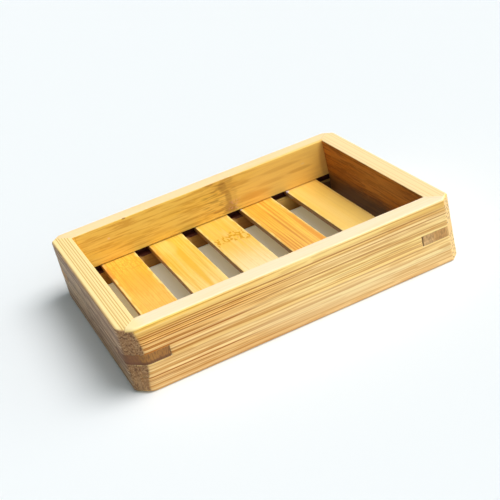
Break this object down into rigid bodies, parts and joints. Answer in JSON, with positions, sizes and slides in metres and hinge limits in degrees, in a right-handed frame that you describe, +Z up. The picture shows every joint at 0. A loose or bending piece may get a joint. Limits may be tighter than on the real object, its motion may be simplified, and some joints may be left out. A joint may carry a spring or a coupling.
{
  "type": "soap dish",
  "caption": "Rectangular bamboo soap dish: a mitred frame with darker keys across its corners, and flat drainage slats let into grooves in the long sides.",
  "frame": {"origin": "on the table under the middle of the frame", "axes": "+X along the long boards to the right, +Y from front to back, +Z up"},
  "size_m": [0.12, 0.09, 0.0236],
  "materials": {
    "long_board": "sanded laminated bamboo, fine grain along the board, clear matt oil",
    "short_board": "sanded laminated bamboo, fine grain along the board, clear matt oil",
    "key": "brown carbonised bamboo, sanded flush",
    "slat": "flat-pressed bamboo strip, smooth, clear satin oil"
  },
  "bodies": {
    "root": {"front_board": "long_board", "back_board": "long_board", "left_board": "short_board", "right_board": "short_board", "key_front_left": "key", "key_front_right": "key", "key_back_left": "key", "key_back_right": "key", "slat_1": "slat", "slat_2": "slat", "slat_3": "slat", "slat_4": "slat", "slat_5": "slat"}
  },
  "joints": []
}
